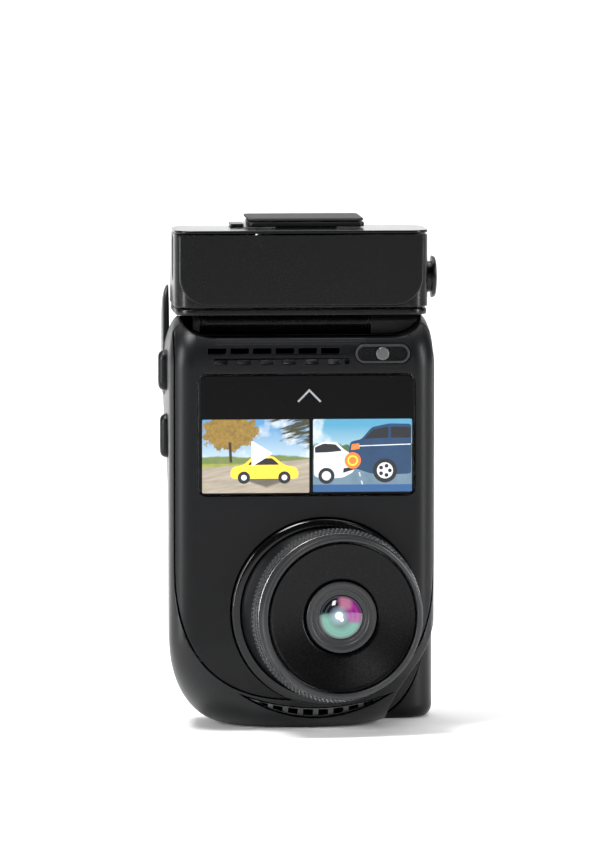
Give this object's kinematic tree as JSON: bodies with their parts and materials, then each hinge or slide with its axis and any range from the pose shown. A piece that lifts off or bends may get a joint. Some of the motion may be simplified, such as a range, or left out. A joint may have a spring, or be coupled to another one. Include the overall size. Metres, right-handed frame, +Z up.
{
  "type": "dash camera",
  "caption": "Dash camera with a screen, a turning front lens, a road lens module behind, side buttons and a folding wedge mount with an adhesive plate.",
  "frame": {"origin": "on the flat underside, below the middle of the body", "axes": "+X to the right of a person who faces the screen, -Y out of the screen towards that person, +Z up"},
  "size_m": [0.0609, 0.0586, 0.1107],
  "materials": {
    "satin_black": "satin moulded, fine spark texture",
    "satin_grey": "satin moulded, soft sheen",
    "gloss_black": "polished",
    "screen": "polished cover window",
    "ring_grey": "satin",
    "panel_glass": "display glass",
    "coated_glass": "multi-coated lens glass",
    "steel": "plain",
    "aluminium": "bead blasted",
    "circuit_board": "solder resist",
    "component_black": "moulded package",
    "adhesive_foam": "foam tape",
    "film": "release film",
    "contact_copper": "plated"
  },
  "bodies": {
    "camera": {"front_cover": "satin_black", "main_housing": "satin_grey", "back_cover": "satin_black", "cover_screw_1": "steel", "cover_screw_2": "steel", "cover_screw_3": "steel", "lower_vent_grille": "gloss_black", "screen_glass": "screen", "display_panel": "panel_glass", "switch_base": "gloss_black", "chassis": "aluminium", "main_circuit_board": "circuit_board", "processor": "component_black", "heat_sink": "aluminium", "supercapacitor_1": "component_black", "supercapacitor_2": "component_black", "card_socket": "steel", "speaker": "component_black", "dome_switch_1": "steel", "dome_switch_2": "steel", "side_button_board": "circuit_board", "lens_bezel": "satin_black", "gimbal_post": "satin_black", "hinge_knuckle_left": "satin_black", "hinge_knuckle_right": "satin_grey", "hinge_shaft": "steel", "road_camera_housing": "satin_grey", "road_lens_ring": "satin_black", "road_lens_barrel": "satin_black", "road_lens_glass": "coated_glass", "road_sensor_board": "circuit_board"},
    "lens_gimbal": {"gimbal_block": "steel"},
    "lens_unit": {"lens_carrier": "satin_black", "lens_ball": "satin_black", "turret": "satin_black", "hood_ring": "ring_grey", "hood_cone": "gloss_black", "lens_retaining_ring": "ring_grey", "lens_front_element": "coated_glass", "lens_barrel": "satin_black", "image_sensor_board": "circuit_board"},
    "focus_ring": {"focus_ring": "satin_grey"},
    "upper_button": {"upper_button": "satin_black"},
    "lower_button": {"lower_button": "satin_black"},
    "slide_switch": {"slide_switch": "ring_grey"},
    "memory_card": {"memory_card": "component_black"},
    "mount": {"mount_base_plate": "satin_black", "friction_washer_left": "steel", "friction_washer_right": "steel", "mount_shell": "satin_black", "mount_lid": "gloss_black", "rail_channel": "satin_black", "mount_circuit_board": "circuit_board", "power_inlet": "steel", "inlet_tongue": "contact_copper", "release_spring": "steel"},
    "windscreen_plate": {"windscreen_plate": "satin_black", "adhesive_pad": "adhesive_foam", "liner_pull_tab": "film"},
    "release_button": {"release_button": "satin_black"}
  },
  "joints": [
    {"name": "mount_tilt", "type": "hinge", "parent": "camera", "child": "mount", "pos_m": [0, -0.003, 0.088], "axis": [-1, 0, 0], "range_deg": [0, 40]},
    {"name": "plate_slide", "type": "slide", "parent": "mount", "child": "windscreen_plate", "axis": [0, 1, 0], "range_m": [0, 0.012]},
    {"name": "release_press", "type": "slide", "parent": "mount", "child": "release_button", "axis": [-1, 0, 0], "range_m": [0, 0.001], "stiffness_N_per_m": 900, "springref_m": -0.001},
    {"name": "upper_press", "type": "slide", "parent": "camera", "child": "upper_button", "axis": [1, 0, 0], "range_m": [0, 0.0005], "stiffness_N_per_m": 1500, "springref_m": -0.0005},
    {"name": "lower_press", "type": "slide", "parent": "camera", "child": "lower_button", "axis": [1, 0, 0], "range_m": [0, 0.0005], "stiffness_N_per_m": 1500, "springref_m": -0.0005},
    {"name": "switch_slide", "type": "slide", "parent": "camera", "child": "slide_switch", "axis": [1, 0, 0], "range_m": [-0.0036, 0.0036]},
    {"name": "card_slide", "type": "slide", "parent": "camera", "child": "memory_card", "axis": [1, 0, 0], "range_m": [0, 0.012]},
    {"name": "lens_pan", "type": "hinge", "parent": "camera", "child": "lens_gimbal", "pos_m": [0.0048, -0.0095, 0.026], "axis": [0, 0, 1], "range_deg": [-20.5, 3.5]},
    {"name": "lens_tilt", "type": "hinge", "parent": "lens_gimbal", "child": "lens_unit", "pos_m": [0.0048, -0.0095, 0.026], "axis": [0.989, 0.1478, 0], "range_deg": [-8, 8]},
    {"name": "focus_turn", "type": "hinge", "parent": "lens_unit", "child": "focus_ring", "pos_m": [0.0048, -0.0095, 0.026], "axis": [0.1478, -0.989, 0], "range_deg": [-45, 45]}
  ]
}
